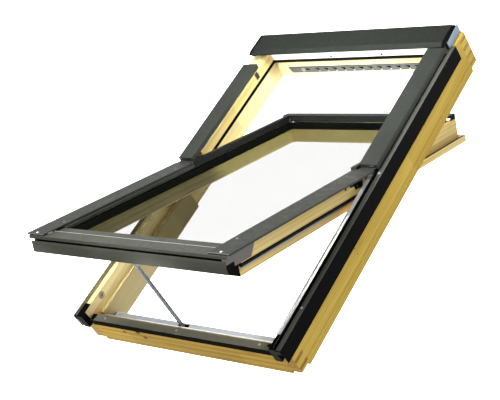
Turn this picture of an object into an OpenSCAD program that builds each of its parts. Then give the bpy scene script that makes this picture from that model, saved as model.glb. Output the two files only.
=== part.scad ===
// Centre-pivot timber roof window with an electric chain opener, standing open.
// Working coordinates of the sections below: u runs across the window from the
// left jamb's outer face, v up the slope from the sill's outer face, n outwards
// from the inner lining edge. "us" is u counted inwards from the nearer jamb.
// The part's origin is the middle of the sill's underside.

/* [Frame] */
// Overall width of the timber frame
frame_w = 780; // [700:10:1000]
// Overall height of the timber frame
frame_h = 1180; // [1120:10:1300]
// Thickness of the jamb timber
jamb_t = 35; // [34:0.5:35]
// Depth of the inner lip below the corner joints
lip = 11; // [9:0.5:11]
// Height of the frame timber above the corner underside
frame_d = 114; // [114:0.5:114.5]

/* [Sash] */
// How far the sash stands open about its turning axis
open_deg = 27.5; // [15:0.5:27.5]
// Distance of the turning axis above the frame's mid height
axis_up = 10; // [8:0.5:12]
// Height of the turning axis above the corner underside
axis_n = 165; // [164:0.5:166]
// Thickness of each glass pane
pane_t = 4; // [3:0.5:5]

/* [Chain opener] */
// Distance of the chain left of the window's middle
chain_off = 45; // [30:1:60]
// Number of chain links that stand out of the drive
chain_links = 20; // [16:2:24]

/* [Vent] */
// Spacing of the vent louvres
louvre_pitch = 35.75; // [32:0.25:45]
// Width of one louvre opening
louvre_w = 20; // [14:1:24]

/* [Sheet metal] */
// Thickness of the covers and claddings
sheet = 1.2; // [1:0.1:1.4]

/* [Hidden] */
$fn = 48;
W = frame_w;
H = frame_h;
M = H / 2;
ax_v = M + axis_up;
ax_n = axis_n;
sill_t = 39;
HI = H - 37;
y0 = 20;
cu = W / 2 - chain_off;
// chain root in the drive, which is also the closed place of the bracket pin
s_v = 54;
s_n = 42;
e_v = ax_v + (s_v - ax_v) * cos(open_deg) + (s_n - ax_n) * sin(open_deg);
e_n = ax_n - (s_v - ax_v) * sin(open_deg) + (s_n - ax_n) * cos(open_deg);
c_len = norm([e_v - s_v, e_n - s_n]);
c_tilt = atan2(e_v - s_v, e_n - s_n);
c_pitch = (c_len - 12) / chain_links;
// finger joints: height from, height to, depth at the sill
fingers = [[8, 18, 39], [37, 47, 39], [66, 76, 26]];
head_fingers = [[8, 18], [37, 47], [66, 76], [95, 105]];
sill_screw_u = [93, W / 2 - 8, W - 101];
clad_screw_v = [119, M + 3];
head_screw_u = [W / 2 - 88, W / 2 + 110];
vent_screw_u = [93, W - 93];
louvre_n = floor((W - 112 - 189 - louvre_w) / louvre_pitch);
hinge_screw_vn = [[M - 38, 78], [M + 55, 78], [ax_v, 104]];
bracket_hole_n = [60, 40];
bracket_hole_v = M - 222;

timber = [0.71, 0.60, 0.36];
grey = [0.39, 0.40, 0.37];
dark = [0.10, 0.11, 0.10];
silver = [0.76, 0.78, 0.82];
steel = [0.62, 0.63, 0.65];

// ---- helpers -------------------------------------------------------------
// block from working coordinates
module bx(u0, u1, v0, v1, n0, n1)
  translate([u0 - W / 2, v0 - y0, n0 + lip]) cube([u1 - u0, v1 - v0, n1 - n0]);
// section in (u, n) run along v
module prof_v(pts, v0, v1)
  translate([-W / 2, v1 - y0, lip]) rotate([90, 0, 0]) linear_extrude(v1 - v0) polygon(pts);
// section in (v, n) run along u
module prof_u(pts, u0, u1)
  translate([u0 - W / 2, -y0, lip]) rotate([90, 0, 90]) linear_extrude(u1 - u0) polygon(pts);
// round bar along u, v or n
module cyl_u(u0, u1, v, n, r)
  translate([u0 - W / 2, v - y0, n + lip]) rotate([0, 90, 0]) cylinder(r = r, h = u1 - u0);
module cyl_v(v0, v1, u, n, r)
  translate([u - W / 2, v1 - y0, n + lip]) rotate([90, 0, 0]) cylinder(r = r, h = v1 - v0);
module cyl_n(n0, n1, u, v, r)
  translate([u - W / 2, v - y0, n0 + lip]) cylinder(r = r, h = n1 - n0);
// right-hand copy of a left-hand piece
module right() mirror([1, 0, 0]) children();
// turn from the closed place to the open one
module opened()
  translate([0, ax_v - y0, ax_n + lip]) rotate([-open_deg, 0, 0])
    translate([0, -(ax_v - y0), -(ax_n + lip)]) children();
// cross recess for a screw head, axis along z, top at 0
module cross() {
  translate([-2.2, -0.4, -1]) cube([4.4, 0.8, 2]);
  translate([-0.4, -2.2, -1]) cube([0.8, 4.4, 2]);
}
// pan-head screw, seat at z = 0, shank down
module pan_screw(l = 10)
  difference() {
    union() {
      cylinder(r = 3.8, h = 2);
      translate([0, 0, -l]) cylinder(r = 2, h = l + 0.5);
    }
    translate([0, 0, 2]) cross();
  }

// ---- timber frame ----------------------------------------------------------
module jamb(bush) {
  difference() {
    union() {
      bx(0, jamb_t, 36, H - 36, -lip, frame_d);
      bx(0, jamb_t, 0, H, 0, frame_d);
      prof_v([[jamb_t - 1, -lip], [47, -lip], [47, 64], [46, 67], [43, 69], [jamb_t - 1, 69]], sill_t, M - 55);
    }
    for (f = fingers) bx(-1, jamb_t + 0.5, -1, f[2], f[0], f[1]);
    for (f = head_fingers) bx(-1, jamb_t + 0.5, HI, H + 1, f[0], f[1]);
    // lengthwise lining groove in the outer face
    bx(-1, 1, -1, H + 1, 14.5, 15.5);
    for (n = bracket_hole_n) cyl_u(-1, 24, bracket_hole_v, n, 2);
    bx(29, jamb_t + 1, M - 45, M + 62, 70, 110);
    for (p = hinge_screw_vn) cyl_u(14, 30, p[0], p[1], 2.1);
    for (v = clad_screw_v) cyl_n(frame_d - 11, frame_d + 1, 7.5, v, 2.1);
    if (bush) cyl_u(23, jamb_t + 1, 77, 101, 10);
  }
}
module frame_jamb_left() color(timber) jamb(true);
module frame_jamb_right() color(timber) right() jamb(false);

module frame_sill() color(timber) difference() {
  union() {
    prof_u([[0, -lip], [sill_t, -lip], [sill_t, 61], [20, 83], [0, 83]], jamb_t, W - jamb_t);
    for (f = fingers) {
      bx(0, jamb_t + 0.5, 0, f[2], f[0], f[1]);
      bx(W - jamb_t - 0.5, W, 0, f[2], f[0], f[1]);
    }
  }
  // lining rebate at the two corners
  bx(jamb_t - 1, jamb_t + 1, -1, 36, -lip - 1, 0);
  bx(W - jamb_t - 1, W - jamb_t + 1, -1, 36, -lip - 1, 0);
  for (u = sill_screw_u) cyl_n(72, 84, u, 10, 2.1);
}

module frame_head() color(timber) difference() {
  union() {
    bx(jamb_t, W - jamb_t, HI, H, -lip, frame_d);
    for (f = head_fingers) {
      bx(0, jamb_t + 0.5, HI, H, f[0], f[1]);
      bx(W - jamb_t - 0.5, W, HI, H, f[0], f[1]);
    }
  }
  // air way of the vent, from the inner face up to the hood
  bx(100, W - 100, HI - 1, HI + 13, 9, 25);
  bx(150, W - 150, HI + 6, HI + 12, 24, frame_d + 1);
  for (u = vent_screw_u) cyl_v(HI - 1, HI + 9, u, 17, 2.1);
}

module stop_side() prof_v([[jamb_t, 79], [56, 79], [56, frame_d - 2], [54, frame_d], [jamb_t, frame_d]], M + 65, H - 55);
module stop_left() color(timber) stop_side();
module stop_right() color(timber) right() stop_side();
module stop_head() color(timber) difference() {
  bx(jamb_t, W - jamb_t, H - 55, HI, 79, frame_d);
  for (u = head_screw_u) cyl_v(H - 56, H - 46, u, 87, 2.1);
}

module gasket_side() prof_v([[46, 79], [55.5, 79], [55.5, 74], [52.5, 65.8], [48.5, 65.8], [46, 73]], M + 65, H - 46);
module frame_gasket() color(dark) union() {
  gasket_side();
  right() gasket_side();
  prof_u([[H - 54.5, 79], [H - 46, 79], [H - 46, 73], [H - 48.2, 65.8], [H - 51.8, 65.8], [H - 54.5, 74]], 46, W - 46);
}

// ---- frame claddings ---------------------------------------------------------
module jamb_clad(v1) difference() {
  union() {
    prof_v([[-2, 65], [0, 65], [0, frame_d], [15, frame_d], [15, frame_d + 1.5], [-2, frame_d + 1.5]], -17, v1);
    bx(13.5, 15, -17, M, frame_d + 1, 127);
  }
  for (v = clad_screw_v) cyl_n(frame_d - 1, frame_d + 3, 7.5, v, 2.1);
}
module jamb_cladding_left() color(dark) jamb_clad(H - 118);
module jamb_cladding_right() color(dark) right() jamb_clad(H - 65);

module corner_block() {
  prof_v([[15.2, 69], [37, 69], [37, 114.5], [34.5, 117], [15.2, 117]], -19, -0.2);
  bx(0.2, 15.4, -19, -0.2, 100, frame_d - 0.2);
  bx(15.2, 34.6, -0.4, 30, frame_d + 0.1, 117);
}
module corner_block_left() color(dark) union() corner_block();
module corner_block_right() color(dark) right() union() corner_block();

module jamb_edge_strip() color(silver) right()
  prof_v([[17, frame_d], [37.5, frame_d], [37.5, 118], [36.3, 118], [35, 115.5], [17, 115.5]], 30.3, M);

module sill_cladding() color(grey) difference() {
  prof_u([[-3, 63], [-1.5, 63], [-1.5, 83], [20, 83], [20, 84.5], [-3, 84.5]], 37.2, W - 37.2);
  for (u = sill_screw_u) cyl_n(82, 86, u, 10, 2.1);
}

module trim_screws() color(steel) {
  for (u = sill_screw_u) translate([u - W / 2, 10 - y0, 84.5 + lip]) pan_screw();
  for (v = clad_screw_v) {
    translate([7.5 - W / 2, v - y0, frame_d + 1.5 + lip]) pan_screw();
    translate([W / 2 - 7.5, v - y0, frame_d + 1.5 + lip]) pan_screw();
  }
  for (u = head_screw_u) translate([u - W / 2, H - 56.2 - y0, 87 + lip]) rotate([90, 0, 0]) pan_screw(9);
  for (u = vent_screw_u) translate([u - W / 2, HI - 3 - y0, 17 + lip]) rotate([90, 0, 0]) pan_screw(11);
}

module upper_cover(v1)
  prof_v([[11, 122], [11 + sheet, 122], [11 + sheet, 139.5 - sheet], [69 - sheet, 139.5 - sheet],
          [69 - sheet, 124.5], [69, 124.5], [69, 139.5], [11, 139.5]], M + 13, v1);
module upper_cover_left() color(grey) upper_cover(H - 142);
module upper_cover_right() color(grey) right() upper_cover(H - 92);

module clip(v) {
  bx(18, 34, v, v + 24, frame_d, frame_d + 2);
  bx(24, 28, v, v + 24, frame_d + 1.5, 139.5 - sheet);
}
module cover_clips() color(dark) for (v = [M + 120, M + 360]) {
  union() clip(v);
  right() union() clip(v);
}

module hood() color([0.27, 0.28, 0.255])
  prof_u([[H - 101, 140], [H - 101 + sheet, 140], [H - 100 + sheet, 144.3], [H - 84, 150 - sheet], [H - 9, 150 - sheet],
          [H - 9, frame_d + 1.6], [H - 9 + sheet, frame_d + 1.6], [H - 9 + sheet, 150], [H - 84.3, 150], [H - 100, 145]], 21, W - 21);
module hood_cap()
  prof_u([[H - 100.5, 139.8], [H - 100.5, 144], [H - 84, 149], [H - 8, 149], [H - 8, frame_d + 1.6],
          [H - 55, frame_d + 1.6], [H - 90, 126], [H - 90, 139.8]], 10.5, 20.9);
module hood_cap_left() color(dark) hood_cap();
module hood_cap_right() color(dark) right() hood_cap();

module flash_end() prof_u([[H - 64, frame_d], [H, frame_d], [H, 146], [H - 80, 141], [H - 80, 118], [H - 64, 118]], 8.5, 10.2);
module head_flashing() color(silver) union() {
  prof_u([[HI + 14, frame_d], [H + 2, frame_d], [H + 2, frame_d + 1.5], [HI + 14, frame_d + 1.5]], 8.5, W - 8.5);
  prof_u([[H + 0.3, 92], [H + 2, 92], [H + 2, frame_d + 1], [H + 0.3, frame_d + 1]], 8.5, W - 8.5);
  flash_end();
  right() flash_end();
}

module head_strip() color([0.88, 0.88, 0.86]) difference() {
  bx(57, W - 57, H - 56.2, H - 55, 79, 125);
  for (u = head_screw_u) cyl_v(H - 57, H - 54, u, 87, 2.1);
}

// ---- vent in the frame head ----------------------------------------------------
module louvres(v0, v1) for (k = [0 : louvre_n - 1]) let (u = 189 + k * louvre_pitch)
  prof_v([[u, 23], [u + louvre_w, 23], [u + louvre_w, 12]], v0, v1);
module vent_grille() color([0.62, 0.63, 0.62]) difference() {
  prof_v([[90, 5], [W - 90, 5], [W - 82, 29], [82, 29]], HI - 3, HI);
  louvres(HI - 4, HI + 1);
  bx(139, 168, HI - 4, HI + 1, 16.5, 22);
  for (u = vent_screw_u) cyl_v(HI - 4, HI + 1, u, 17, 2.1);
}
module vent_shutter() color([0.55, 0.56, 0.55]) difference() {
  union() {
    bx(105, W - 124, HI + 0.5, HI + 2.5, 10, 24);
    bx(142, 146, HI - 4, HI + 1, 17.5, 21);
    cyl_v(HI - 6.6, HI - 3.4, 144, 19.2, 8);
  }
  louvres(HI, HI + 3);
  cyl_v(HI - 7, HI - 4.6, 144, 19.2, 5);
}

module guide_plate() color(grey) bx(56, 57.6, H - 166, H - 149, 88, 112);
module bolt_bush() color([0.58, 0.54, 0.44]) difference() {
  union() {
    cyl_u(23, jamb_t, 77, 101, 9.95);
    cyl_u(jamb_t, jamb_t + 1.2, 77, 101, 11.5);
  }
  cyl_u(jamb_t - 2.4, jamb_t + 2, 77, 101, 5);
}

// ---- chain opener in the sill ------------------------------------------------------
module actuator_housing() color(silver) difference() {
  bx(60, W - 112, sill_t, 69, -8, 34);
  bx(62, W - 114, sill_t + 2, 67, -6, 35);
}
module actuator_cover() color(silver) difference() {
  bx(60, W - 112, sill_t, 69, 34, 36);
  bx(cu - 13, cu + 13, 44.5, 63, 33, 37);
}
module actuator_end_caps() color(dark) {
  bx(55.5, 60, sill_t + 0.5, 68.5, -7.5, 35.5);
  bx(W - 112, W - 107.5, sill_t + 0.5, 68.5, -7.5, 35.5);
}
module actuator_motor() color(steel) union() {
  cyl_u(cu + 74, cu + 190, 51.5, 8, 10);
  cyl_u(cu + 190, cu + 204, 51.5, 8, 6);
  bx(cu + 20, cu + 75, 42, 61, -5.8, 24);
}
module chain_guide() color(dark) difference() {
  union() {
    bx(cu - 12.9, cu + 12.9, 44.6, 62, 24, 36.5);
    bx(cu - 16, cu + 16, 43, 63.5, 36, 38);
    // ears about the axis that the chain tilts on
    for (s = [-15.6, 12.4]) {
      bx(cu + s, cu + s + 3.2, s_v - 3.5, s_v + 3.5, 37, s_n);
      cyl_u(cu + s, cu + s + 3.2, s_v, s_n, 3.5);
    }
  }
  bx(cu - 6.5, cu + 6.5, 47, 61, 23, 39);
  cyl_u(cu - 17, cu - 12, s_v, s_n, 2);
  cyl_u(cu + 12, cu + 17, s_v, s_n, 2);
}

// ---- turning fittings: an arc slider in an arc track about the axis ------------------
module arc_ring(u0, u1, r0, r1) difference() {
  cyl_u(u0, u1, ax_v, ax_n, r1, $fn = 128);
  cyl_u(u0 - 1, u1 + 1, ax_v, ax_n, r0, $fn = 128);
}
module hinge_track() difference() {
  bx(29, 38, M - 45, M + 62, 70, 110);
  arc_ring(33, 39, 76, 84);
  for (p = hinge_screw_vn) {
    cyl_u(28, 39, p[0], p[1], 2.1);
    cyl_u(35.9, 39, p[0], p[1], 3.9);
  }
}
module hinge_track_left() color([0.23, 0.20, 0.17]) hinge_track();
module hinge_track_right() color([0.23, 0.20, 0.17]) right() hinge_track();
module hinge_screw(p) translate([35.9 - W / 2, p[0] - y0, p[1] + lip]) rotate([0, 90, 0]) pan_screw(20);
module hinge_screws() color(steel) for (p = hinge_screw_vn) {
  hinge_screw(p);
  right() hinge_screw(p);
}
module hinge_slider() union() {
  intersection() {
    arc_ring(33.4, 40, 76.08, 83.92);
    bx(33, 41, ax_v + 7, ax_v + 40, 76, 101);
  }
  bx(39.4, 59, ax_v + 0.2, ax_v + 42, 72, 108);
}
module hinge_slider_left() color([0.35, 0.32, 0.28]) opened() hinge_slider();
module hinge_slider_right() color([0.35, 0.32, 0.28]) opened() right() hinge_slider();

// ---- sash timber and glass (sections drawn closed, then opened) ---------------------
module stile() union() {
  prof_v([[39, 89], [92, 89], [92, 91], [74, 91], [74, 118], [39, 118]], -8, 46);
  prof_v([[39, 82], [92, 82], [92, 91], [74, 91], [74, 118], [39, 118]], 45.5, M);
  prof_v([[51, 46], [53, 44], [92, 44], [92, 82.5], [51, 82.5]], 46, 100);
  prof_v([[51, 46], [53, 44], [85, 44], [92, 51], [92, 82.5], [51, 82.5]], 100, ax_v);
  prof_v([[59, 64.5], [92, 64.5], [92, 91], [74, 91], [74, 122], [59, 122]], M - 0.5, H - 59);
  prof_v([[42, 46], [44, 44], [85, 44], [92, 51], [92, 65], [42, 65]], ax_v - 0.5, H - 92);
  prof_v([[42, 46], [44, 44], [92, 44], [92, 65], [42, 65]], H - 92, H - 44);
}
module sash_stile_left() color(timber) opened() stile();
module sash_stile_right() color(timber) opened() right() stile();
module sash_top_rail() color(timber) opened()
  prof_u([[H - 85, 44], [H - 92, 51], [H - 92, 91], [H - 74, 91], [H - 74, 122], [H - 59, 122], [H - 59, 65], [H - 44, 65], [H - 44, 44]], 92, W - 92);
module sash_bottom_rail() color(timber) opened() difference() {
  prof_u([[-8, 89], [-8, 118], [34, 118], [34, 91], [100, 91], [100, 51], [93, 44], [48, 44], [46, 46], [46, 89]], 92, W - 92);
  bx(cu - 22, cu + 22, 45, 71, 43, 54);
}
module glass_outer() color([0.75, 0.8, 0.8, 0.4]) opened() bx(75.5, W - 75.5, 36, H - 75, 116 - pane_t, 116);
module glass_inner() color([0.75, 0.8, 0.8, 0.4]) opened() bx(75.5, W - 75.5, 36, H - 75, 92, 92 + pane_t);
module glass_spacer() color(dark) opened() difference() {
  bx(77, W - 77, 38, H - 76.5, 92 + pane_t, 116 - pane_t);
  bx(89, W - 89, 50, H - 88.5, 91, 117);
}
module glazing_gasket() color(dark) opened() difference() {
  bx(75.5, W - 75.5, 36, H - 75, 91, 92);
  bx(91, W - 91, 99, H - 91, 90, 93);
}

// ---- sash covers -------------------------------------------------------------------
module sash_cover() union() {
  prof_v([[11, 127], [11 + sheet, 127], [11 + sheet, 133 - sheet], [81 - sheet, 133 - sheet],
          [81 - sheet, 128], [81, 128], [81, 133], [11, 133]], -18, 58.2);
  prof_v([[11, 127], [11 + sheet, 127], [11 + sheet, 133 - sheet], [81 - sheet, 133 - sheet],
          [81 - sheet, 125 - sheet], [81, 125 - sheet], [81, 133], [11, 133]], 58.2, ax_v);
  // ledge along the glass
  prof_v([[81 - sheet, 125 - sheet], [87 - sheet, 125 - sheet], [87 - sheet, 117], [87, 117], [87, 125], [81 - sheet, 125]], 58.2, ax_v);
  // folded front end
  bx(11, 81, -18, -18 + sheet, 128, 133);
  bx(58, 60, -8, M - 0.5, 118, 133 - sheet / 2);
  bx(14, 66, ax_v - 1, ax_v + 18, 133 - sheet, 133);
}
module sash_cover_left() color(grey) opened() sash_cover();
module sash_cover_right() color(grey) opened() right() sash_cover();
// bottom cover: flat nose at the front, a step down towards the glass
module sash_bottom_cover() color(grey) opened() union() {
  prof_u([[-21, 118.5], [-21 + sheet, 118.5], [-21 + sheet, 127.5 - sheet], [22.4, 127.5 - sheet], [25, 123.5 - sheet],
          [58 - sheet, 123.5 - sheet], [58 - sheet, 117], [58, 117], [58, 123.5], [25.7, 123.5], [23.1, 127.5],
          [-20, 127.5], [-21, 126.5]], 81.2, W - 81.2);
  // nose that runs on under the side covers
  prof_u([[-21, 118.5], [-21 + sheet, 118.5], [-21 + sheet, 127.5 - sheet], [-12, 127.5 - sheet], [-12, 127.5],
          [-20, 127.5], [-21, 126.5]], 20, W - 20);
  bx(92, W - 92, 0, 2, 118, 127);
}
module sash_fascia() color(grey) opened() union() {
  prof_u([[-22.2, 78.6], [-21, 78.6], [-21, 105.9], [-19.5, 111.9], [-20.6, 112.7], [-22.2, 106.4]], 26, W - 26);
  bx(92, W - 92, -21.5, -8, 100, 101.5);
}
module end_plate()
  prof_u([[-19.1, 97], [20.5, 97], [20.5, 84.5], [84, 84.5], [107, 118], [-19.1, 118]], 37.8, 39);
module end_plate_left() color(grey) opened() end_plate();
module end_plate_right() color(grey) opened() right() end_plate();
module glazing_profile()
  prof_v([[70, 122], [74.2, 122], [74.2, 139 - sheet], [88 - sheet, 139 - sheet], [88 - sheet, 117], [88, 117], [88, 139],
          [73, 139], [73, 123.2], [70, 123.2]], ax_v + 0.2, H - 88);
module glazing_profile_left() color(grey) opened() glazing_profile();
module glazing_profile_right() color(grey) opened() right() glazing_profile();
module sash_head_profile() color(grey) opened() union() {
  prof_u([[H - 87.8, 139 - sheet], [H - 59 - sheet, 139 - sheet], [H - 59 - sheet, 122], [H - 59, 122], [H - 59, 139], [H - 87.8, 139]], 59.5, W - 59.5);
  bx(88.2, W - 88.2, H - 87.8, H - 87.8 + sheet, 117, 138.5);
}

// ---- sash seals and small pieces -----------------------------------------------------
module sash_gasket_side() {
  prof_v([[39.5, 82], [51, 82], [51, 74], [48, 69.6], [43, 69.6], [39.5, 76]], 46, M - 2);
  bx(39.2, 70, -20.6, -8.2, 88, 105.8);
  // end boot below the end plate
  bx(37.9, 38.9, -20.4, 20.3, 85.5, 96.8);
}
module sash_gasket() color(dark) opened() {
  sash_gasket_side();
  right() sash_gasket_side();
  prof_u([[31, 89], [45.8, 89], [45.8, 81], [40, 73], [34, 79]], 92, W - 92);
  // filler behind the groove between the bottom cover and the fascia
  bx(40, W - 40, -12, -8.2, 108, 122.5);
}
module seal_strips() color(silver) opened() {
  bx(50, 51, 47, M, 62, 66);
  right() bx(50, 51, 47, M, 62, 66);
}
module chain_bracket() color(steel) opened() union() {
  bx(cu - 20, cu + 20, 47, 69, 51, 54);
  for (s = [-11, 8]) difference() {
    union() {
      bx(cu + s, cu + s + 3, s_v - 3.5, s_v + 3.5, s_n, 52);
      cyl_u(cu + s, cu + s + 3, s_v, s_n, 3.5);
    }
    cyl_u(cu + s - 1, cu + s + 4, s_v, s_n, 2.5);
  }
  cyl_u(cu - 12, cu + 12, s_v, s_n, 2.5);
}
module rivet(us, v, n) translate([us - W / 2, v - y0, n + lip])
  intersection() {
    cylinder(r = 4, h = 1.6);
    translate([0, 0, -4.6]) sphere(r = 6.2);
  }
module cover_rivets() color([0.85, 0.85, 0.84]) opened() for (p = [[45, -9], [64, 75], [64, ax_v - 58]]) {
  rivet(p[0], p[1], 133);
  right() rivet(p[0], p[1], 133);
}

// ---- push chain ----------------------------------------------------------------------
// plate of a link: axis of its pins along y, from z = 0 up to the pitch
module link_plate(ya, yb, r, hole) difference() {
  union() {
    translate([-r * 0.8, ya, 0]) cube([r * 1.6, yb - ya, c_pitch]);
    for (z = [0, c_pitch]) translate([0, yb, z]) rotate([90, 0, 0]) cylinder(r = r, h = yb - ya);
  }
  if (hole > 0) for (z = [0, c_pitch]) translate([0, yb + 1, z]) rotate([90, 0, 0]) cylinder(r = hole, h = yb - ya + 2);
}
module inner_link() difference() {
  union() {
    link_plate(-4.2, -2.6, 4.2, 0);
    link_plate(2.6, 4.2, 4.2, 0);
    for (z = [0, c_pitch]) translate([0, 3, z]) rotate([90, 0, 0]) cylinder(r = 3, h = 6);
  }
  for (z = [0, c_pitch]) translate([0, 6, z]) rotate([90, 0, 0]) cylinder(r = 1.85, h = 12);
}
module outer_link() union() {
  link_plate(-5.9, -4.3, 4.2, 0);
  link_plate(4.3, 5.9, 4.2, 0);
  for (z = [0, c_pitch]) translate([0, 6.3, z]) rotate([90, 0, 0]) cylinder(r = 1.8, h = 12.6);
}
module chain_end() difference() {
  union() {
    translate([-3.6, -4.1, -3.6]) cube([7.2, 8.2, 15.6]);
    translate([-7.4, 0, 12]) rotate([0, 90, 0]) cylinder(r = 4.6, h = 14.8);
  }
  translate([0, 6, 0]) rotate([90, 0, 0]) cylinder(r = 1.85, h = 12);
  translate([-9, 0, 12]) rotate([0, 90, 0]) cylinder(r = 2.56, h = 18);
}
module drive_chain() color([0.66, 0.68, 0.73])
  translate([cu - W / 2, s_v - y0, s_n + lip]) rotate([-c_tilt, 0, 0]) {
    for (i = [-2 : chain_links - 1]) translate([0, 0, i * c_pitch])
      if (i % 2 == 0) inner_link(); else outer_link();
    translate([0, 0, chain_links * c_pitch]) chain_end();
  }

frame_jamb_left();
frame_jamb_right();
frame_head();
frame_sill();
stop_left();
stop_right();
stop_head();
frame_gasket();
jamb_cladding_left();
jamb_cladding_right();
corner_block_left();
corner_block_right();
jamb_edge_strip();
sill_cladding();
trim_screws();
upper_cover_left();
upper_cover_right();
cover_clips();
hood();
hood_cap_left();
hood_cap_right();
head_flashing();
head_strip();
vent_grille();
guide_plate();
bolt_bush();
actuator_housing();
actuator_cover();
actuator_end_caps();
actuator_motor();
chain_guide();
hinge_track_left();
hinge_track_right();
hinge_screws();
sash_stile_left();
sash_stile_right();
sash_top_rail();
sash_bottom_rail();
glass_outer();
glass_inner();
glass_spacer();
glazing_gasket();
sash_cover_left();
sash_cover_right();
sash_bottom_cover();
sash_fascia();
end_plate_left();
end_plate_right();
glazing_profile_left();
glazing_profile_right();
sash_head_profile();
sash_gasket();
seal_strips();
hinge_slider_left();
hinge_slider_right();
chain_bracket();
cover_rivets();
drive_chain();
vent_shutter();
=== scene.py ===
import math
import bmesh
import bpy
from mathutils import Matrix, Vector


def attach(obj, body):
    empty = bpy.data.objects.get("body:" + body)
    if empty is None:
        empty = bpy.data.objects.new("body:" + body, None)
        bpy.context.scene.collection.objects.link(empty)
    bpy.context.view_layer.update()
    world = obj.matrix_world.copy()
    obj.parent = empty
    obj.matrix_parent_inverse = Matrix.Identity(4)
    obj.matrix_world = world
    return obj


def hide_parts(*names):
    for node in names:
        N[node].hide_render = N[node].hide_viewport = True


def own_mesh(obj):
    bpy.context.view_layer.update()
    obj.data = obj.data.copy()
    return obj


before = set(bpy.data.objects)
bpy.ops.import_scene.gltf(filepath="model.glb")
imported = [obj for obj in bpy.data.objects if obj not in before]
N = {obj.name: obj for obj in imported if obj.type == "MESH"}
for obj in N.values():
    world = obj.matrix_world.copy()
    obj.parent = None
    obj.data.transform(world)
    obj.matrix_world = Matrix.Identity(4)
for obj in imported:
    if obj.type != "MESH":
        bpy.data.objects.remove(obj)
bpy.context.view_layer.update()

W, H = 780.0, 1180.0
AX_V, AX_N, OPEN = 600.0, 165.0, math.radians(27.5)


def row(u, v, n):
    """Working millimetres (across, up the slope, outwards) to the row frame in metres."""
    return Vector(((u - W / 2) / 1000, (v - 20) / 1000, (n + 11) / 1000))


def opened(u, v, n):
    """The same for a point of the sash given where it is when closed."""
    dv, dn = v - AX_V, n - AX_N
    c, s = math.cos(OPEN), math.sin(OPEN)
    return row(u, AX_V + dv * c + dn * s, AX_N - dv * s + dn * c)


# ---------------------------------------------------------------- materials
class Mat:
    """Small helper around a node tree with one Principled shader."""

    def __init__(self, name):
        self.m = bpy.data.materials.new(name)
        self.m.use_nodes = True
        self.t = self.m.node_tree
        self.t.nodes.clear()
        self.out = self.add("ShaderNodeOutputMaterial")
        self.p = self.add("ShaderNodeBsdfPrincipled")
        self.link(self.p.outputs[0], self.out.inputs["Surface"])

    def add(self, kind, **kw):
        n = self.t.nodes.new(kind)
        for k, v in kw.items():
            setattr(n, k, v)
        return n

    def link(self, a, b):
        self.t.links.new(a, b)

    def set(self, **kw):
        for k, v in kw.items():
            self.p.inputs[k.replace("_", " ")].default_value = v

    def coords(self, rot=(0, 0, 0), scale=(1, 1, 1), loc=(0, 0, 0)):
        tc = self.add("ShaderNodeTexCoord")
        mp = self.add("ShaderNodeMapping")
        mp.inputs["Location"].default_value = loc
        mp.inputs["Rotation"].default_value = rot
        mp.inputs["Scale"].default_value = scale
        self.link(tc.outputs["Object"], mp.inputs["Vector"])
        return mp.outputs[0]

    def scaled(self, vec, scale, loc=(0, 0, 0)):
        mp = self.add("ShaderNodeMapping")
        mp.inputs["Scale"].default_value = scale
        mp.inputs["Location"].default_value = loc
        self.link(vec, mp.inputs["Vector"])
        return mp.outputs[0]

    def noise(self, vec, scale, detail=2.0, rough=0.5, distort=0.0):
        n = self.add("ShaderNodeTexNoise")
        n.inputs["Scale"].default_value = scale
        n.inputs["Detail"].default_value = detail
        n.inputs["Roughness"].default_value = rough
        n.inputs["Distortion"].default_value = distort
        self.link(vec, n.inputs["Vector"])
        return n.outputs["Fac"]

    def ramp(self, fac, stops, interp="LINEAR"):
        r = self.add("ShaderNodeValToRGB")
        r.color_ramp.interpolation = interp
        e = r.color_ramp.elements
        while len(e) < len(stops):
            e.new(0.5)
        for i, (pos, col) in enumerate(stops):
            e[i].position = pos
            e[i].color = (*col, 1) if len(col) == 3 else col
        self.link(fac, r.inputs["Fac"])
        return r.outputs["Color"]

    def math(self, op, a, b=None, clamp=False):
        n = self.add("ShaderNodeMath", operation=op, use_clamp=clamp)
        for i, x in enumerate((a, b)):
            if x is None:
                continue
            if isinstance(x, (int, float)):
                n.inputs[i].default_value = x
            else:
                self.link(x, n.inputs[i])
        return n.outputs[0]

    def mix(self, fac, a, b, blend="MIX"):
        n = self.add("ShaderNodeMix", data_type="RGBA", blend_type=blend)
        for sock, x in ((n.inputs["Factor"], fac), (n.inputs[6], a), (n.inputs[7], b)):
            if isinstance(x, (int, float)):
                sock.default_value = x
            elif isinstance(x, tuple):
                sock.default_value = (*x, 1) if len(x) == 3 else x
            else:
                self.link(x, sock)
        return n.outputs[2]

    def bump(self, height, strength, dist=0.001):
        b = self.add("ShaderNodeBump")
        b.inputs["Strength"].default_value = strength
        b.inputs["Distance"].default_value = dist
        self.link(height, b.inputs["Height"])
        self.link(b.outputs[0], self.p.inputs["Normal"])

    def split(self, vec):
        s = self.add("ShaderNodeSeparateXYZ")
        self.link(vec, s.inputs[0])
        return s.outputs


def srgb(h):
    c = [int(h[i:i + 2], 16) / 255 for i in (0, 2, 4)]
    return tuple(x / 12.92 if x <= 0.04045 else ((x + 0.055) / 1.055) ** 2.4 for x in c)


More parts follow.
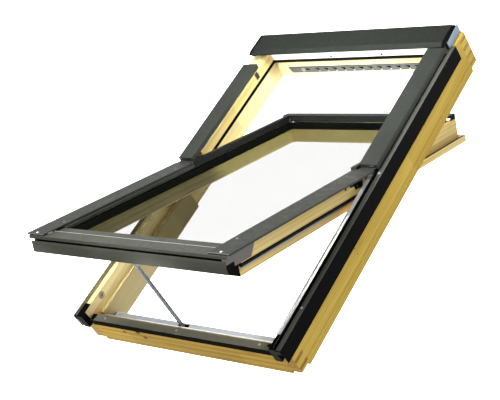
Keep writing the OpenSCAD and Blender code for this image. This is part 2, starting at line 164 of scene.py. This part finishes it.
# inner and upper paint shade and light into the pine: inner darkens the part past an X limit in the lower half as
# painted shade, upper makes the upper end paler as painted light
def pine(name, axis, seed=0.0, light="d6bf70", mid="c2a44c", deep="9a782c", knots=(), inner=None, upper=None):
    """Lacquered pine. The grain runs along axis: X, Y or S (the open sash's length)."""
    m = Mat(name)
    rot = {"X": (0, 0, 0), "Y": (0, 0, -math.pi / 2), "S": (OPEN, 0, -math.pi / 2)}[axis]
    q = m.coords(rot=rot, loc=(seed * 0.37, seed * 0.113, seed * 0.071))
    # broad tone drift and streaks along the grain
    drift = m.noise(m.scaled(q, (1.3, 16, 16)), 1.0, 3, 0.55, 0.6)
    streak = m.noise(m.scaled(q, (3.0, 95, 95)), 1.0, 4, 0.6, 0.9)
    fibre = m.noise(m.scaled(q, (22, 900, 900)), 1.0, 2, 0.5)
    # growth rings round a heart that lies outside the section
    wave = m.add("ShaderNodeTexWave", wave_type="RINGS", rings_direction="X", wave_profile="SAW")
    wave.inputs["Scale"].default_value = 1.0
    wave.inputs["Distortion"].default_value = 2.6
    wave.inputs["Detail"].default_value = 2.0
    wave.inputs["Detail Scale"].default_value = 0.6
    m.link(m.scaled(q, (1.6, 34, 34), (0, 1.9 + seed, -1.3)), wave.inputs["Vector"])
    tone = m.math("ADD", m.math("MULTIPLY", drift, 0.5), m.math("MULTIPLY", streak, 0.34))
    tone = m.math("ADD", tone, m.math("MULTIPLY", wave.outputs["Fac"], 0.22))
    col = m.ramp(tone, [(0.30, srgb(light)), (0.54, srgb(mid)), (0.80, srgb(deep))])
    # glued lengths of slightly different timber
    sx, sy, sz = m.split(q)
    saw = m.add("ShaderNodeMath", operation="PINGPONG")
    m.link(sz, saw.inputs[0])
    saw.inputs[1].default_value = 0.004
    along = m.math("ADD", m.math("MULTIPLY", sx, 2.35), m.math("MULTIPLY", saw.outputs[0], 5.0))
    lay = m.add("ShaderNodeCombineXYZ")
    m.link(m.math("FLOOR", along), lay.inputs[0])
    lay.inputs[1].default_value = seed + 3.1
    wn = m.add("ShaderNodeTexWhiteNoise", noise_dimensions="3D")
    m.link(lay.outputs[0], wn.inputs["Vector"])
    gain = m.math("ADD", m.math("MULTIPLY", wn.outputs["Value"], 0.20), 0.90)
    lam = m.add("ShaderNodeCombineXYZ")
    for i in range(3):
        m.link(gain, lam.inputs[i])
    col = m.mix(1.0, col, lam.outputs[0], "MULTIPLY")
    # scattered small knots
    vor = m.add("ShaderNodeTexVoronoi", feature="F1")
    vor.inputs["Scale"].default_value = 1.0
    m.link(m.scaled(q, (2.1, 7.5, 7.5), (seed, 0.4, 0.9)), vor.inputs["Vector"])
    kd = m.math("ADD", vor.outputs["Distance"], m.math("MULTIPLY", streak, 0.02))
    kf = m.ramp(kd, [(0.045, (1, 1, 1)), (0.075, (0.35, 0.35, 0.35)), (0.13, (0, 0, 0))])
    col = m.mix(kf, col, srgb("6e4718"))
    for kx, ky, kz, r in knots:
        sub = m.add("ShaderNodeVectorMath", operation="SUBTRACT")
        tc = m.add("ShaderNodeTexCoord")
        m.link(tc.outputs["Object"], sub.inputs[0])
        sub.inputs[1].default_value = (kx, ky, kz)
        ln = m.add("ShaderNodeVectorMath", operation="LENGTH")
        sc = m.add("ShaderNodeVectorMath", operation="MULTIPLY")
        m.link(sub.outputs[0], sc.inputs[0])
        sc.inputs[1].default_value = (0.7 / r, 1 / r, 1 / r)
        m.link(sc.outputs[0], ln.inputs[0])
        kk = m.math("ADD", ln.outputs["Value"], m.math("MULTIPLY", streak, 0.25))
        f = m.ramp(kk, [(0.42, (1, 1, 1)), (0.62, (0.55, 0.55, 0.55)), (1.0, (0, 0, 0))])
        col = m.mix(f, col, srgb("4a2c10"))
    if upper is not None:
        # painted light: paler towards the upper end, where the stile stands in the light above the frame
        lx, ly, lz = m.split(m.coords())
        f = m.ramp(ly, [(0.59, (0, 0, 0)), (0.65, (1, 1, 1))])
        col = m.mix(f, col, m.ramp(tone, [(0.30, srgb(upper[0])), (0.54, srgb(upper[1])), (0.80, srgb(upper[2]))]))
    if inner is not None:
        # painted shade: the inner part of the lower half is darker, standing in for the sash's shadow
        lx, ly, lz = m.split(m.coords())
        low = m.ramp(m.math("MULTIPLY", ly, 1.0), [(0.62, (1, 1, 1)), (0.70, (0, 0, 0))])
        f = m.math("MULTIPLY", m.math("GREATER_THAN", lx, inner), low)
        col = m.mix(f, col, m.mix(1.0, col, (0.50, 0.50, 0.48), "MULTIPLY"))
    # end grain is darker and duller
    tc = m.add("ShaderNodeTexCoord")
    g = {"X": (1, 0, 0), "Y": (0, 1, 0), "S": (0, math.cos(OPEN), -math.sin(OPEN))}[axis]
    dot = m.add("ShaderNodeVectorMath", operation="DOT_PRODUCT")
    m.link(tc.outputs["Normal"], dot.inputs[0])
    dot.inputs[1].default_value = g
    end = m.math("GREATER_THAN", m.math("ABSOLUTE", dot.outputs["Value"]), 0.8)
    ringy = m.noise(m.scaled(q, (60, 240, 240)), 1.0, 2, 0.6)
    endcol = m.ramp(ringy, [(0.35, srgb("b48a48")), (0.65, srgb("86602a"))])
    col = m.mix(m.math("MULTIPLY", end, 0.85), col, endcol)
    m.link(col, m.p.inputs["Base Color"])
    m.link(m.ramp(fibre, [(0.3, (0.36,) * 3), (0.7, (0.50,) * 3)]), m.p.inputs["Roughness"])
    m.set(Specular_IOR_Level=0.02)
    m.bump(m.math("ADD", m.math("MULTIPLY", fibre, 0.6), m.math("MULTIPLY", streak, 0.7)), 0.16, 0.0006)
    return m.m


def coated(name, base, dark, rough=(0.38, 0.50), grain=1.0, metallic=0.0, spec=0.5, coat=0.0):
    """Powder-coated or moulded surface: fine orange peel and a slight tone drift."""
    m = Mat(name)
    q = m.coords()
    drift = m.noise(q, 9.0, 3, 0.55)
    peel = m.noise(q, 1500.0, 2, 0.55)
    m.link(m.ramp(drift, [(0.35, srgb(base)), (0.70, srgb(dark))]), m.p.inputs["Base Color"])
    m.link(m.ramp(m.noise(q, 60.0, 3, 0.6), [(0.35, (rough[0],) * 3), (0.65, (rough[1],) * 3)]), m.p.inputs["Roughness"])
    m.set(Metallic=metallic, Specular_IOR_Level=spec, Coat_Weight=coat)
    m.bump(peel, 0.10 * grain, 0.0003)
    return m.m


def two_tone(name, a, b, axis, limit, rough=(0.36, 0.48), spec=0.4, by="Normal", below=False):
    """Coated surface whose second tone lies where a direction or a place passes a limit."""
    m = Mat(name)
    q = m.coords()
    tc = m.add("ShaderNodeTexCoord")
    comp = m.split(tc.outputs[by])["XYZ".index(axis)]
    f = m.math("LESS_THAN" if below else "GREATER_THAN", comp, limit)
    n = m.noise(q, 9.0, 3, 0.55)
    col = m.mix(f, m.ramp(n, [(0.3, srgb(a[0])), (0.7, srgb(a[1]))]), m.ramp(n, [(0.3, srgb(b[0])), (0.7, srgb(b[1]))]))
    m.link(col, m.p.inputs["Base Color"])
    m.link(m.ramp(m.noise(q, 60.0, 3, 0.6), [(0.35, (rough[0],) * 3), (0.65, (rough[1],) * 3)]), m.p.inputs["Roughness"])
    m.set(Specular_IOR_Level=spec)
    m.bump(m.noise(q, 1500.0, 2, 0.55), 0.10, 0.0003)
    return m.m


def metal(name, base, dark, axis="X", rough=(0.24, 0.40), metallic=1.0):
    """Drawn or brushed metal with fine lines along its length."""
    m = Mat(name)
    rot = {"X": (0, 0, 0), "Y": (0, 0, -math.pi / 2), "Z": (0, math.pi / 2, 0)}[axis]
    q = m.coords(rot=rot)
    line = m.noise(m.scaled(q, (4, 1100, 1100)), 1.0, 3, 0.6)
    drift = m.noise(q, 14.0, 3, 0.5)
    m.link(m.ramp(drift, [(0.3, srgb(base)), (0.75, srgb(dark))]), m.p.inputs["Base Color"])
    m.link(m.ramp(line, [(0.3, (rough[0],) * 3), (0.7, (rough[1],) * 3)]), m.p.inputs["Roughness"])
    m.set(Metallic=metallic)
    m.bump(line, 0.12, 0.0003)
    return m.m


def rubber(name):
    m = Mat(name)
    q = m.coords()
    m.link(m.ramp(m.noise(q, 40, 3), [(0.3, srgb("050606")), (0.7, srgb("0b0c0b"))]), m.p.inputs["Base Color"])
    m.link(m.ramp(m.noise(q, 300, 3), [(0.3, (0.5,) * 3), (0.7, (0.68,) * 3)]), m.p.inputs["Roughness"])
    m.set(Specular_IOR_Level=0.03)
    m.bump(m.noise(q, 1800, 2), 0.15, 0.0003)
    return m.m


def pane(name, alpha):
    m = Mat(name)
    q = m.coords()
    m.link(m.ramp(m.noise(q, 2.2, 2), [(0.3, srgb("10120e")), (0.7, srgb("0d0f0b"))]), m.p.inputs["Base Color"])
    m.set(Roughness=0.03, Alpha=alpha, Specular_IOR_Level=0.0, IOR=1.5)
    m.bump(m.noise(q, 3.0, 1), 0.01, 0.0005)
    return m.m


SILL_KNOTS = [(-0.178, -0.020, 0.066, 0.012), (-0.238, -0.020, 0.058, 0.008), (-0.160, -0.020, 0.046, 0.010)]
M = {
    "pine_y": pine("pine_jamb", "Y", 0.0, light="e8d79a", mid="d6bf7a", deep="b4954a"),
    # left jamb: a paler copy of the pine as painted light on its inner faces; inner adds painted shade to the inner
    # part of its lower half
    "pine_yl": pine("pine_jamb_left", "Y", 0.0, light="f2e6b8", mid="e6d49a", deep="c4aa66", inner=-0.3445),
    "pine_y2": pine("pine_jamb_right", "Y", 2.7, light="e2c86a", mid="d0ae4c", deep="a88632"),
    "pine_x": pine("pine_head", "X", 1.3),
    "pine_sill": pine("pine_sill", "X", 5.2, light="cbaa4c", mid="b08e34", deep="80601c", knots=SILL_KNOTS),
    # left stile: a darker, olive copy of the pine as painted shade under the glass; upper makes its upper end paler as
    # painted light
    "pine_s": pine("pine_stile", "S", 3.6, light="c6bd92", mid="b2a87a", deep="928758", upper=("fdf2ae", "f4e490", "dcc672")),
    # right stile: a paler copy of the pine as painted light
    "pine_sr": pine("pine_stile_right", "S", 7.9, light="efdca2", mid="e0c67e", deep="bd9a54"),
    # head's inner face: a near-white copy of the pine as painted light
    "pine_hx": pine("pine_head_face", "X", 11.9, light="f6ebc2", mid="eedfa8", deep="d2b878"),
    "pine_r": pine("pine_rail", "X", 4.4),
    # sash top rail: a pale copy of the pine as painted light, like the stile's upper end
    "pine_rt": pine("pine_rail_top", "X", 6.1, light="fdf2b4", mid="f2e294", deep="d6bf6c"),
    # cover, sashcover, front and fascia are one grey coat; the bottom cover and fascia take lighter copies of it as
    # painted light
    "cover": coated("cover_grey", "30332f", "2a2d29", spec=0.3),
    "sashcover": coated("sash_cover_grey", "363834", "30322e", spec=0.25),
    "front": coated("front_cover_grey", "45463f", "3e3f38", spec=0.2),
    "fascia": coated("fascia_grey", "4a4b43", "44453d", spec=0.12),
    "endplate": coated("end_plate_grey", "6d6864", "645f5b"),
    "hood": coated("hood_grey", "1f221e", "1b1e1a", spec=0.3),
    "profile": coated("profile_dark", "141716", "101312", spec=0.2),
    # black cladding, its up-facing faces grey: painted sheen on the tops
    "black": two_tone("cladding_black", ("060807", "050606"), ("5a5c55", "52544d"), "Z", 0.7, rough=(0.26, 0.36), spec=0.015),
    # left cladding black, its faces turned to +X light grey: painted reflection
    "clad_l": two_tone("cladding_black_left_painted_reflection", ("0d110e", "0a0d0b"), ("9a998c", "8f8e82"), "X", 0.7, spec=0.15),
    "plastic": coated("plastic_black", "0b0d0c", "080a09", rough=(0.42, 0.55), spec=0.03),
    # sill cladding grey on its top faces and near-black on its front faces: the split by facing is painted light and
    # shade
    "sillclad": two_tone("sill_cladding_tone_by_facing", ("7a7a70", "727268"), ("1a1b16", "151611"), "Y", -0.7, below=True, spec=0.0),
    "actuator": two_tone("drive_cover", ("dcebff", "d3e4fb"), ("ffffff", "fafaf8"), "Y", 0.0325, by="Object", below=True, rough=(0.3, 0.4)),
    "rubber": rubber("seal_rubber"),
    "silver_x": metal("silver_drawn", "c6cad3", "b8bec9", "X", metallic=0.75),
    "silver_y": metal("silver_drawn_long", "f0f3f8", "e6ebf2", "Y", metallic=0.1),
    "white": coated("strip_white", "ffffff", "fbfbf9", rough=(0.34, 0.42)),
    "steel": metal("zinc_steel", "c2c5cb", "a4a8b0", "Z", rough=(0.26, 0.42)),
    "bronze": coated("fitting_bronze", "33291f", "241d17", rough=(0.34, 0.48)),
    # grille grey, black past Object Y 1.1203: painted shade inside its openings
    "vent": two_tone("vent_grey", ("6a6c6a", "626462"), ("020202", "010101"), "Y", 1.1203, by="Object", rough=(0.80, 0.90), spec=0.0),
    "bush": coated("bush_grey", "a39a86", "958b74", rough=(0.45, 0.6)),
    # rivets grey with a white lower part: painted highlight on the rivet heads
    "rivet": two_tone("cover_rivet", ("6f716b", "686a64"), ("fafaf8", "f2f2f0"), "Y", 0.03, by="Object", below=True, rough=(0.25, 0.35)),
    "chain": metal("chain_steel", "9aa2ad", "858d99", "Z", rough=(0.3, 0.45), metallic=0.6),
    "tab": coated("tab_grey", "7b7d76", "70726b"),
    "tapeline": metal("seal_edge_metal", "9a9ca0", "85878c", "Y", metallic=0.4),
    # shutter grey, black past Object Y 1.1207: painted shade seen through the vent openings
    "shutter": two_tone("vent_shutter_grey_painted_shade", ("9a9c9b", "8d8f8e"), ("0b0c0c", "080909"), "Y", 1.1207, by="Object", rough=(0.6, 0.7), spec=0.0),
    "edge": coated("edge_strip_white", "fbfdff", "f2f6fc", spec=0.05),
    "trimscrew": two_tone("trim_screw_zinc", ("b4b7bc", "a4a8b0"), ("2a2b2c", "232425"), "Y", 1.0, by="Object", rough=(0.3, 0.42)),
    "flashing": metal("flashing_blue_grey", "8fa0b4", "7f90a4", "X", metallic=0.3),
    # light grey strips on the sash covers' rolled edges: their light tone is a painted highlight
    "hem": coated("hem_painted_highlight", "90928e", "888a86", rough=(0.3, 0.4)),
    "tape": coated("tape_grey", "5e5f60", "555657"),
    "lip": coated("lip_white", "f4f4f2", "eaeae8"),
    "pane": pane("pane_clear", 0.27),
}
USE = {
    "frame_jamb_left": "pine_yl", "frame_jamb_right": "pine_y2", "frame_head": "pine_hx", "frame_sill": "pine_sill",
    "stop_left": "pine_y", "stop_right": "pine_y", "stop_head": "pine_x", "frame_gasket": "rubber",
    "jamb_cladding_left": "clad_l", "jamb_cladding_right": "black", "corner_block_left": "plastic", "corner_block_right": "plastic",
    "jamb_edge_strip": "edge", "sill_cladding": "sillclad", "trim_screws": "trimscrew",
    "upper_cover_left": "cover", "upper_cover_right": "cover", "cover_clips": "plastic",
    "hood": "hood", "hood_cap_left": "plastic", "hood_cap_right": "plastic", "head_flashing": "flashing", "head_strip": "white",
    "vent_grille": "vent", "vent_shutter": "shutter", "guide_plate": "cover", "bolt_bush": "bush",
    "actuator_housing": "silver_x", "actuator_cover": "actuator", "actuator_end_caps": "plastic", "actuator_motor": "steel", "chain_guide": "plastic",
    "hinge_track_left": "bronze", "hinge_track_right": "bronze", "hinge_screws": "steel",
    "sash_stile_left": "pine_s", "sash_stile_right": "pine_sr", "sash_top_rail": "pine_rt", "sash_bottom_rail": "pine_r",
    "glass_outer": "pane", "glass_inner": "pane", "glass_spacer": "rubber", "glazing_gasket": "rubber",
    "sash_cover_left": "sashcover", "sash_cover_right": "sashcover", "sash_bottom_cover": "front", "sash_fascia": "fascia",
    "end_plate_left": "endplate", "end_plate_right": "endplate",
    "glazing_profile_left": "profile", "glazing_profile_right": "profile", "sash_head_profile": "profile",
    "sash_gasket": "rubber", "seal_strips": "tapeline", "hinge_slider_left": "bronze", "hinge_slider_right": "bronze",
    "chain_bracket": "steel", "cover_rivets": "rivet", "drive_chain": "steel",
}
BEVEL = {"pine": 0.0012, "cover": 0.0005, "sash": 0.0005, "hood": 0.0006, "prof": 0.0005, "plas": 0.0009, "blac": 0.0005}
for name, key in USE.items():
    o = N[name]
    o.data.materials.clear()
    o.data.materials.append(M[key])
    if key in ("pane",):
        continue
    wd = o.modifiers.new("weld", "WELD")
    wd.merge_threshold = 0.00002
    bv = o.modifiers.new("edges", "BEVEL")
    bv.width = BEVEL.get(key[:4], 0.0004)
    bv.segments = 2
    bv.limit_method = "ANGLE"
    bv.angle_limit = math.radians(40)
    bv.use_clamp_overlap = True

# ---------------------------------------------------------------- detail pieces
class Build:
    """Collects prisms, bars and rings in working millimetres into one mesh."""

    def __init__(self, tf=row):
        self.v, self.f, self.tf = [], [], tf

    def add(self, vs, fs):
        b = len(self.v)
        self.v += [self.tf(*p) for p in vs]
        self.f += [[b + i for i in f] for f in fs]

    def prism(self, axis, pts, a0, a1):
        place = {"u": lambda a, p: (a, p[0], p[1]), "v": lambda a, p: (p[0], a, p[1]), "n": lambda a, p: (p[0], p[1], a)}[axis]
        k = len(pts)
        vs = [place(a0, p) for p in pts] + [place(a1, p) for p in pts]
        fs = [list(range(k))[::-1], list(range(k, 2 * k))]
        fs += [[i, (i + 1) % k, k + (i + 1) % k, k + i] for i in range(k)]
        self.add(vs, fs)

    def box(self, u0, u1, v0, v1, n0, n1):
        self.prism("n", [(u0, v0), (u1, v0), (u1, v1), (u0, v1)], n0, n1)

    def bar(self, axis, c, r, a0, a1, seg=20):
        self.prism(axis, [(c[0] + r * math.cos(2 * math.pi * i / seg), c[1] + r * math.sin(2 * math.pi * i / seg)) for i in range(seg)], a0, a1)

    def tube(self, axis, c, r0, r1, a0, a1, seg=24):
        place = {"u": lambda a, p: (a, p[0], p[1]), "v": lambda a, p: (p[0], a, p[1]), "n": lambda a, p: (p[0], p[1], a)}[axis]
        ring = [(math.cos(2 * math.pi * i / seg), math.sin(2 * math.pi * i / seg)) for i in range(seg)]
        vs = [place(a, (c[0] + r * x, c[1] + r * y)) for a, r in ((a0, r0), (a0, r1), (a1, r1), (a1, r0)) for x, y in ring]
        fs = []
        for k in range(4):
            for i in range(seg):
                j = (i + 1) % seg
                k2 = (k + 1) % 4
                fs.append([k * seg + i, k * seg + j, k2 * seg + j, k2 * seg + i])
        self.add(vs, fs)

    def make(self, name, mat, body, bevel=0.0003):
        me = bpy.data.meshes.new(name)
        me.from_pydata(self.v, [], self.f)
        bm = bmesh.new()
        bm.from_mesh(me)
        bmesh.ops.recalc_face_normals(bm, faces=bm.faces)
        if bevel:
            sharp = [e for e in bm.edges if len(e.link_faces) == 2 and e.calc_face_angle() > 0.8]
            bmesh.ops.bevel(bm, geom=sharp, offset=bevel, segments=2, affect="EDGES", profile=0.5, clamp_overlap=True)
        bm.to_mesh(me)
        bm.free()
        for p in me.polygons:
            p.use_smooth = len(p.vertices) == 4 and p.area < 2e-6
        me.materials.append(M[mat])
        o = bpy.data.objects.new(name, me)
        bpy.context.scene.collection.objects.link(o)
        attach(o, body)
        return o


# vent: a lip under each louvre opening, its pale tone a painted highlight on the formed lip
HI = H - 37
b = Build()
for k in range(12):
    u = 189 + k * 35.75
    b.prism("v", [(u + 14, 10.0), (u + 20.5, 10.0), (u + 20.5, 12.2), (u + 17, 11.8)], HI - 4.4, HI - 2.8)
b.make("vent_lips", "lip", "frame")
# a thin white strip along the sill's sloped back edge
b = Build()
b.prism("u", [(29.5, 72.1), (38.9, 61.2), (39.1, 61.5), (29.8, 72.4)], 62, W - 62)
b.make("sill_back_white_strip", "white", "frame", bevel=0.0)

# a black sheet behind the louvres as painted shade in the vent's openings, and the seal's lip under the stops
b = Build()
b.box(175, 640, HI + 3.2, HI + 4.0, 9.6, 24.4)
b.box(50, W - 50, H - 56.2, H - 50, 65.9, 78.9)
for m in (0, 1):
    b.box(*((W - 56.4, W - 50) if m else (50, 56.4)), 660, H - 56.2, 68, 78.9)
b.make("vent_shade_sheet_and_seal_lip", "rubber", "frame")

# hood: two small clips on its back edge
b = Build()
for u in (103, 632):
    b.prism("u", [(H - 14, 148), (H - 8, 148), (H - 8, 149.95), (H - 14, 149.95)], u - 2.5, u + 2.5)
b.make("hood_clips", "lip", "frame")

# black caps on the stiles' lower ends, and light grey strips on the sash covers' rolled edges as painted highlights
b = Build(opened)
for m in (0, 1):
    u0, u1 = (W - 92, W - 51) if m else (51, 92)
    b.box(u0, u1, 45.2, 45.9, 44.6, 81.8)
    u0, u1 = (W - 61.2, W - 59.8) if m else (59.8, 61.2)
    b.box(u0, u1, H - 87.6, H - 60.4, 122.2, 137.6)
    u0, u1 = (W - 46.5, W - 42.4) if m else (42.4, 46.5)
    b.box(u0, u1, 640, H - 46, 65.05, 65.6)
b.make("stile_end_caps", "plastic", "sash", bevel=0.0)
# grey ends that close the upper glazing profiles where the side covers stop
b = Build(opened)
for m in (0, 1):
    b.box(*((W - 88.3, W - 69.8) if m else (69.8, 88.3)), 599.0, 600.1, 125.2, 139.1)
b.make("profile_ends", "sashcover", "sash", bevel=0.0)
# light grey strips on the fold and front edges of the sash covers: painted highlights on their rolled edges
b = Build(opened)
b.prism("u", [(20.4, 127.3), (23.4, 127.3), (23.2, 127.9), (20.6, 127.9)], 81.6, W - 81.6)
for m in (0, 1):
    u0, u1 = (W - 80, W - 12) if m else (12, 80)
    b.prism("u", [(-18.3, 131.2), (-17.9, 131.2), (-17.9, 132.6), (-18.3, 132.4)], u0, u1)
b.make("cover_hems_painted_highlight", "hem", "sash", bevel=0.0)

# hooked tabs of the corner blocks on the sill cladding
b = Build()
for m in (1, -1):
    def side(u):
        return 390 + m * (u - 390)
    pts = [(740.4, -2.6), (740.4, 17.5), (726, 17.5), (709, 14), (708, 8), (724, 6.4), (731, -2.6)]
    if m < 0:
        pts = [(757, -2.6), (757, 17.5), (728, 17.5), (731, -2.6)]
        pts = [(min(p[0], 740.4), p[1]) for p in pts]
    b.prism("n", [(side(x), y) for x, y in pts], 84.7, 88.6)
b.make("corner_tabs", "plastic", "frame")

# sash: clips between the side and bottom covers, marks on the bottom cover's fold
b = Build(opened)
for m in (0, 1):
    for (u0, u1, v0, v1, n0, n1) in ((81.6, 86.5, -4, 12, 127.6, 130.6), (81.6, 89.5, 3, 9, 127.6, 129.2)):
        b.box(*((W - u1, W - u0) if m else (u0, u1)), v0, v1, n0, n1)
for u in (201, 581):
    b.prism("u", [(18, 127.6), (23, 127.6), (22.4, 128.8), (19, 128.8)], u - 4, u + 4)
b.make("cover_tabs", "tab", "sash")

# sash: round parts of the turning fitting on the stiles' outer faces
b = Build(opened)
c2 = Build(opened)
for m in (0, 1):
    for (v, n, r) in ((497, 112, 4.2), (527, 112.5, 5.2), (549, 104, 6.0), (570, 112, 5.2)):
        a0, a1 = (W - 38.95, W - 38.1) if m else (38.1, 38.95)
        b.tube("u", (v, n), r * 0.55, r, a0, a1)
        c2.tube("u", (v, n), r * 0.2, r * 0.5, a0, a1)
    a0, a1 = (W - 38.95, W - 38.2) if m else (38.2, 38.95)
    b.prism("u", [(540, 96), (575, 94), (579, 117), (520, 117.4), (516, 109), (536, 107)], a0, a1)
b.make("fitting_rings", "plastic", "sash")
c2.make("fitting_bosses", "bronze", "sash")

# sash: flat seal tape on the upper ledge
b = Build(opened)
for m in (0, 1):
    b.box(*((W - 52, W - 42.6) if m else (42.6, 52)), 660, 1112, 65.05, 65.6)
b.make("ledge_tape", "tape", "sash", bevel=0.0)

# frame: black packing under the lower ends of the upper covers
b = Build()
for m in (0, 1):
    for (u0, u1, v0, v1, n0, n1) in ((15.4, 36.6, 591, 640, 114.2, 116.2), (15.4, 20, 604, 619.5, 116.2, 131.3), (15.4, 20, 619.5, 636, 116.2, 136), (15.4, 17.8, 640, 1082 if m else 1032, 114.2, 121), (17.8, 45, 640, 1082 if m else 1032, 114.2, 115.4)):
        b.box(*((W - u1, W - u0) if m else (u0, u1)), v0, v1, n0, n1)
b.make("cover_packing", "plastic", "frame")
# closers in the lower ends of the upper covers, with a slit for the sash covers' tabs
b = Build()
for m in (0, 1):
    for (n0, n1) in ((124.8, 131.3), (133.8, 138.1)):
        b.box(*((W - 67.6, W - 12.6) if m else (12.6, 67.6)), 603.4, 604.2, n0, n1)
b.make("cover_closers", "cover", "frame", bevel=0.0)
# black plugs in the bracket screw holes in the jambs: painted shade in the holes
b = Build()
for n in (60, 40):
    b.bar("u", (368, n), 1.96, 1.6, 8)
    b.bar("u", (368, n), 1.96, W - 8, W - 1.6)
b.make("hole_shade_plugs", "rubber", "frame", bevel=0.0)

# push chain: fine plates and pins along the line from the drive to the bracket pin
root = row(345, 54, 42)
tip = opened(345, 54, 42)
along = (tip - root).normalized()
side_y = along.cross(Vector((1, 0, 0))).normalized()
length = (tip - root).length * 1000


def chain_tf(x, y, z):
    return root + Vector((x, 0, 0)) / 1000 + side_y * (y / 1000) + along * (z / 1000)


b = Build(chain_tf)
pitch = (length - 12 + 12) / 42
k = 0
z = -2 * pitch
while z < length - 17.5:
    outer = k % 2
    for sgn in (-1, 1):
        y0, y1 = ((3.5, 4.8) if outer else (2.1, 3.3))
        half = 3.7
        prof = []
        for i in range(9):
            a = math.pi + math.pi * i / 8
            prof.append((half * math.cos(a), z + half * 0.9 * math.sin(a) + 0.2))
        for i in range(9):
            a = math.pi * i / 8
            prof.append((half * math.cos(a), z + pitch + half * 0.9 * math.sin(a) - 0.2))
        b.prism("v", prof, sgn * y0, sgn * y1)
    b.bar("v", (0, z), 1.5, -5.3, 5.3, 10)
    b.bar("v", (0, z), 2.6, -2.0, 2.0, 12)
    z += pitch
    k += 1
b.prism("v", [(-3.4, length - 15), (3.4, length - 15), (3.4, length - 4.8), (-3.4, length - 4.8)], -3.9, 3.9)
chain = b.make("chain_links", "chain", "chain", bevel=0.0)
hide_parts("drive_chain")
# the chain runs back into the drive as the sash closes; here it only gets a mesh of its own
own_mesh(chain)
# its end eye turns on the bracket's pin
b = Build(chain_tf)
b.tube("u", (0, length), 2.6, 4.5, -6.2, 6.2, 20)
b.make("chain_eye", "chain", "sash", bevel=0.0)

# ---------------------------------------------------------------- stage
floor_z = -0.95
bm = bmesh.new()
bmesh.ops.create_grid(bm, x_segments=8, y_segments=8, size=14)
me = bpy.data.meshes.new("floor")
bm.to_mesh(me)
bm.free()
floor = bpy.data.objects.new("floor", me)
floor.location = (0, 0.6, floor_z)
bpy.context.scene.collection.objects.link(floor)
fm = Mat("floor_pale")
q = fm.coords()
fm.link(fm.ramp(fm.noise(q, 3.0, 2), [(0.3, (0.16, 0.16, 0.158)), (0.7, (0.18, 0.18, 0.178))]), fm.p.inputs["Base Color"])
# painted light: the floor glows by its own emission, most of all behind the window
glow = fm.add("ShaderNodeTexGradient", gradient_type="SPHERICAL")
fm.link(fm.scaled(fm.coords(loc=(1.45, -0.95, 0)), (0.34, 0.34, 0.34)), glow.inputs["Vector"])
fm.link(fm.ramp(glow.outputs["Fac"], [(0.0, (1.05, 1.05, 1.05)), (0.6, (3.2, 3.19, 3.17))]), fm.p.inputs["Emission Color"])
fm.set(Roughness=0.9, Specular_IOR_Level=0.1, Emission_Strength=1.0)
floor.data.materials.append(fm.m)

world = bpy.data.worlds.new("studio")
bpy.context.scene.world = world
world.use_nodes = True
bg = world.node_tree.nodes["Background"]
bg.inputs["Color"].default_value = (1, 1, 1, 1)
bg.inputs["Strength"].default_value = 0.3


def area(name, loc, target, size, power, spread=180):
    d = bpy.data.lights.new(name, "AREA")
    d.shape = "RECTANGLE"
    d.size, d.size_y = size
    d.energy = power
    d.spread = math.radians(spread)
    o = bpy.data.objects.new(name, d)
    o.location = loc
    o.rotation_euler = (Vector(target) - Vector(loc)).to_track_quat("-Z", "Y").to_euler()
    bpy.context.scene.collection.objects.link(o)
    return o


area("key", (-0.05, 0.62, 1.85), (-0.1, 0.6, 0.0), (0.8, 1.2), 58)
area("table", (0.12, 0.45, -0.80), (0.0, 0.6, 0.2), (0.6, 0.9), 3)
# narrow soft beams on the inner faces of the head, the left jamb's upper half and its lower half
area("beam_head", (0.38, -1.2, 1.4), (0.0, 1.12, 0.05), (0.6, 0.15), 2.8, 20)
area("beam_jamb", (1.5, 0.85, 1.05), (-0.36, 0.92, 0.06), (0.5, 0.2), 1.5, 30)
area("beam_low", (0.8, -0.9, 0.55), (-0.36, 0.17, 0.09), (0.25, 0.15), 0.05, 24)
area("beam_top", (-0.5, -0.8, 0.9), (-0.37, 0.16, 0.12), (0.2, 0.1), 0.36, 18)
area("beam_sill", (0.0, -1.0, 0.9), (0.0, 0.045, 0.05), (0.7, 0.08), 0.12, 16)
area("beam_side", (1.2, 0.0, 0.7), (0.08, 0.045, 0.045), (0.1, 0.1), 0.06, 16)

area("beam_edge", (-0.45, -0.9, 0.75), (0.347, 0.30, 0.12), (0.1, 0.06), 0.35, 12)

# ---------------------------------------------------------------- camera
cam = bpy.data.cameras.new("camera")
cam.sensor_fit = "HORIZONTAL"
cam.sensor_width = 36.0
cam.lens = 36.0 * 1174.355 / 500
cam.clip_end = 100
co = bpy.data.objects.new("camera", cam)
right = Vector((0.75496515, 0.47063732, -0.45664881))
down = Vector((0.04911125, -0.73498362, -0.67630405))
view = Vector((-0.65392332, 0.4881594, -0.5780006))
rot = Matrix((right, -down, -view)).transposed()
co.matrix_world = Matrix.Translation(row(2616.376, -1201.531, 2091.950)) @ rot.to_4x4()
bpy.context.scene.collection.objects.link(co)
bpy.context.scene.camera = co
bpy.context.scene.view_settings.view_transform = "Standard"
